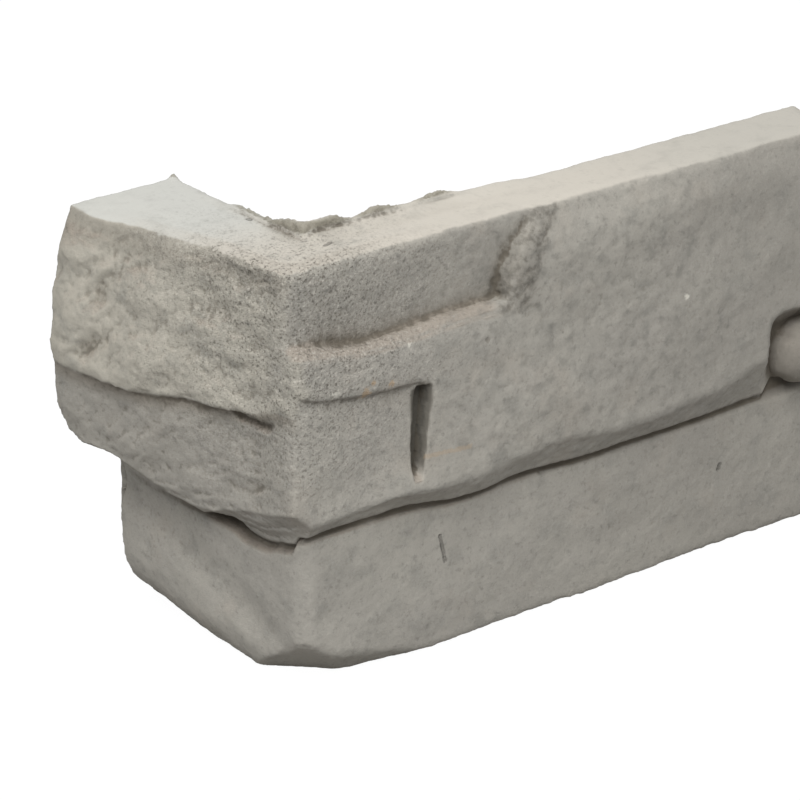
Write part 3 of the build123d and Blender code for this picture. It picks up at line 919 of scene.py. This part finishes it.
# %% Grow the relief and turn it into a plain mesh
TRIANGLES = 190000
grow = stone.modifiers.new("relief", "NODES")
grow.node_group = relief_tree
sockets = relief_tree.interface.items_tree
named = {socket.name: socket.identifier for socket in sockets if socket.in_out == "INPUT"}
for name, value in RELIEF.items():
    grow[named[name]] = value
grow[named["Finish"]] = cast
thin = stone.modifiers.new("thin", "DECIMATE")
thin.ratio = min(1.0, TRIANGLES / (2 * len(stone.data.polygons)))
finished = plain_mesh(stone, "split_stone")
stone.modifiers.clear()
stone.data = finished
for face in finished.polygons:
    face.use_smooth = True
for point in finished.vertices:
    point.co = [min(max(c, a), b) for c, a, b in zip(point.co, low, high)]
print("stone", sum(len(face.vertices) - 2 for face in finished.polygons), "triangles")

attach(stone, "root")
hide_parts("stone_corner")

# %% [markdown]
# ## Floor, light and camera
#
# The photograph shows the block on pure white with hardly a shadow, as shops cut such pictures
# out. A floor that the camera sees as white, but that throws only some light back, gives the same
# and keeps the soft shadow at the foot.

# %% White floor that keeps a shadow
FLOOR_GREY = (0.42, 0.42, 0.42, 1.0)
PURE_WHITE = (1.0, 1.0, 1.0, 1.0)
white = bpy.data.materials.new("white_floor")
white.use_nodes = True
white.node_tree.nodes.clear()
plain = Board(white.node_tree)
rays = plain.tree.nodes.new("ShaderNodeLightPath")
seen = Wire(plain, rays.outputs["Is Camera Ray"]).high(Wire(plain, rays.outputs["Is Glossy Ray"]))
seen = seen.high(Wire(plain, rays.outputs["Is Transmission Ray"]))
matt = plain.node("ShaderNodeBsdfDiffuse", None, {"Color": FLOOR_GREY})
glow = plain.node("ShaderNodeEmission", None, {"Color": PURE_WHITE, "Strength": 1.09})
both = plain.node("ShaderNodeMixShader", None, {0: seen * 0.9, 1: matt, 2: glow})
plain.feed(plain.tree.nodes.new("ShaderNodeOutputMaterial").inputs["Surface"], both)

shape = bmesh.new()
bmesh.ops.create_grid(shape, x_segments=1, y_segments=1, size=6.0)
sheet = bpy.data.meshes.new("floor")
shape.to_mesh(sheet)
shape.free()
sheet.materials.append(white)
floor = bpy.data.objects.new("floor", sheet)
floor.location.z = -0.2 * MM
bpy.context.scene.collection.objects.link(floor)
print("floor", [round(side, 1) for side in floor.dimensions], "m")

# %% [markdown]
# ### Light
#
# Even light from all round comes from the sky, which is a little brighter overhead. A big soft
# window stands high at the left, so that the short leg is the lighter face, and a weak lamp behind
# keeps the top edge from fading into the white.

# %% Sky
world = bpy.data.worlds.new("studio")
world.use_nodes = True
sky = Board(world.node_tree)
height_seen = sky.node("ShaderNodeTexCoord", None, None, "Generated").parts()[2]
background = world.node_tree.nodes["Background"]
sky.feed(background.inputs["Strength"], height_seen.step(0.0, 0.9) * 0.45 + 0.13)
background.inputs["Color"].default_value = PURE_WHITE
bpy.context.scene.world = world
print("sky", len(world.node_tree.nodes), "nodes")


# %% Soft lamps
def softbox(name, where, side, power, aim=(0.05, 0.0, 0.05)):
    """A square lamp that faces the block."""
    lamp = bpy.data.lights.new(name, "AREA")
    lamp.shape = "SQUARE"
    lamp.size = side
    lamp.energy = power
    thing = bpy.data.objects.new(name, lamp)
    thing.location = where
    thing.rotation_euler = (Vector(where) - Vector(aim)).to_track_quat("Z", "Y").to_euler()
    bpy.context.scene.collection.objects.link(thing)
    print("lamp", name, power, "W")


softbox("window", (-0.72, -0.88, 1.6), 1.2, 33.0)
softbox("back_fill", (1.2, 1.5, 0.9), 1.2, 9.0)

# %% [markdown]
# ### Camera
#
# The camera's place was worked out from the photograph's own perspective: it looks down on the
# outer corner from the left, through a long lens, so that the lines of the block hardly close in.

# %% Camera of the photograph
LOOKS_DOWN = 23.456
TURNED = -37.907
lens = bpy.data.cameras.new("photo_camera")
lens.sensor_width = 36.0
lens.lens = 155.5
camera = bpy.data.objects.new("photo_camera", lens)
camera.location = at(-405.103, -553.751, 359.591)
camera.rotation_euler = (math.radians(90 - LOOKS_DOWN), 0.0, math.radians(TURNED))
bpy.context.scene.collection.objects.link(camera)
bpy.context.scene.camera = camera
bpy.context.scene.view_settings.view_transform = "Standard"
print("camera", round(camera.location.length, 2), "m away")
